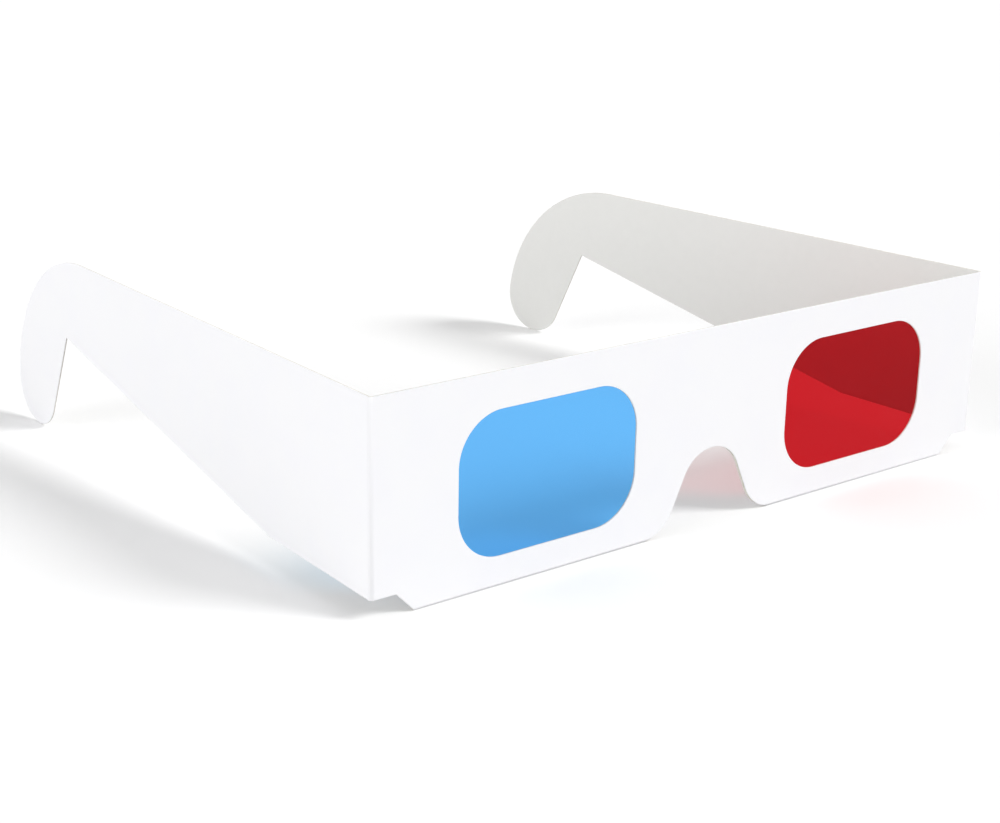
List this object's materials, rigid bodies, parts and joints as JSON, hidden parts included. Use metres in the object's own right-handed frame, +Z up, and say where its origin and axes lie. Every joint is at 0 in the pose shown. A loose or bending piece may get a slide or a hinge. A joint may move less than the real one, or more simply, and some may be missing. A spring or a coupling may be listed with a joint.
{
  "type": "card 3d glasses",
  "caption": "Folding card anaglyph glasses: a doubled front with a nose notch, cyan and red film lenses, and temples with ear hooks that fold at scored creases.",
  "frame": {"origin": "on the table under the middle of the glasses' box, as they stand on the bottom fold and the two ear hooks", "axes": "+X along the front from the cyan lens to the red lens, +Y from the front face back to the ear hooks, +Z up"},
  "size_m": [0.152, 0.1362, 0.039],
  "materials": {
    "white_card": "coated white card, satin",
    "cyan_film": "clear cyan acetate film, gloss",
    "red_film": "clear red acetate film, gloss",
    "dried_glue": "dried white glue, matt"
  },
  "bodies": {
    "front": {"front_panel": "white_card", "back_panel": "white_card", "left_bottom_fold": "white_card", "right_bottom_fold": "white_card", "cyan_lens": "cyan_film", "red_lens": "red_film", "ply_glue": "dried_glue", "left_crease": "white_card", "right_crease": "white_card"},
    "left_temple": {"left_temple": "white_card"},
    "right_temple": {"right_temple": "white_card"}
  },
  "joints": [
    {"name": "left_fold", "type": "hinge", "parent": "front", "child": "left_temple", "pos_m": [-0.07533, -0.06741, 0.0209], "axis": [0, 0, -1], "range_deg": [-90.9, 89.1], "deforming": ["left_crease"]},
    {"name": "right_fold", "type": "hinge", "parent": "front", "child": "right_temple", "pos_m": [0.07533, -0.06741, 0.0209], "axis": [0, 0, 1], "range_deg": [-96, 81], "deforming": ["right_crease"]}
  ]
}
